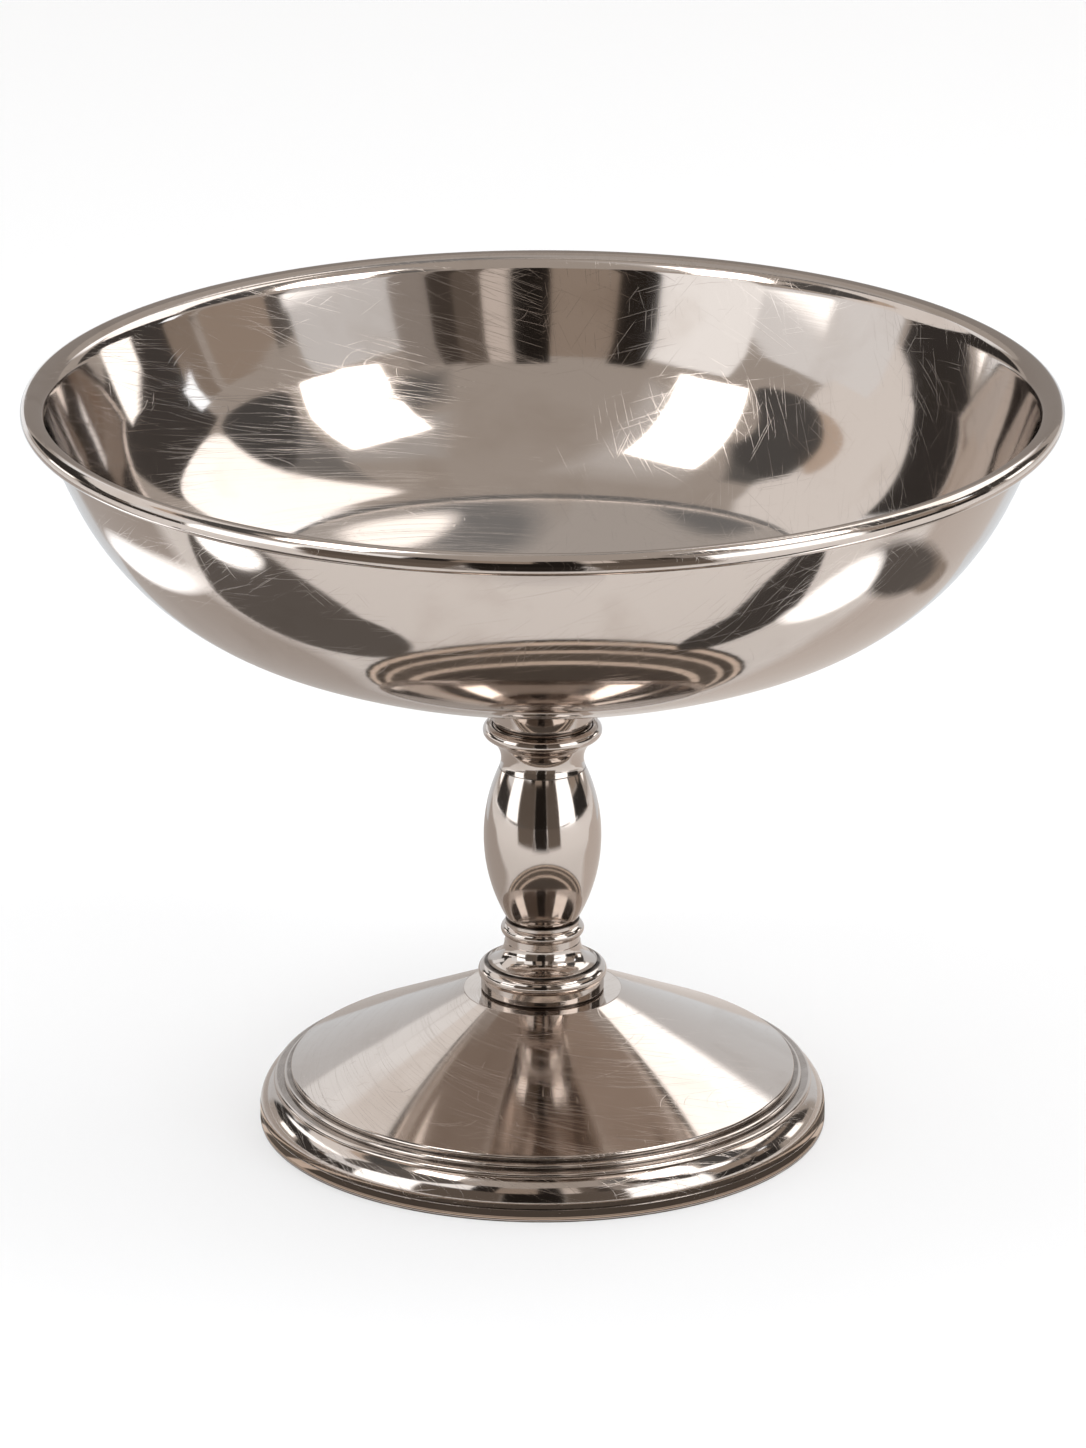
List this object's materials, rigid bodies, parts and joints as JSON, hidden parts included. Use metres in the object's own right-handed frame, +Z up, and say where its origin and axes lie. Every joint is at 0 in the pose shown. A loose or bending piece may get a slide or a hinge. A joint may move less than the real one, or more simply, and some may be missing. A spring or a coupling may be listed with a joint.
{
  "type": "footed compote bowl",
  "caption": "Footed compote bowl: a shallow spun metal bowl with a rolled rim on a turned baluster stem and a stepped round foot, for fruit or sweets.",
  "frame": {"origin": "on the bowl's axis, in the plane on which the foot stands", "axes": "+Z up along the stem; the object is round about Z, so +X and +Y are free choices"},
  "size_m": [0.254, 0.254, 0.1887],
  "materials": {
    "bowl_silver": "polished silver plate on nickel silver, finely scratched by use",
    "stem_silver": "polished silver plate on turned nickel silver, darkened in the grooves",
    "foot_silver": "polished silver plate on nickel silver, scratched and slightly tarnished",
    "steel": "bright mild steel"
  },
  "bodies": {
    "root": {"bowl": "bowl_silver", "rim_wire": "steel", "bowl_socket": "stem_silver", "stem_collar": "stem_silver", "baluster": "stem_silver", "stem_base": "stem_silver", "foot_cone": "foot_silver", "base_ring": "foot_silver", "tie_rod": "steel", "foot_washer": "steel", "rod_nut": "steel"}
  },
  "joints": []
}
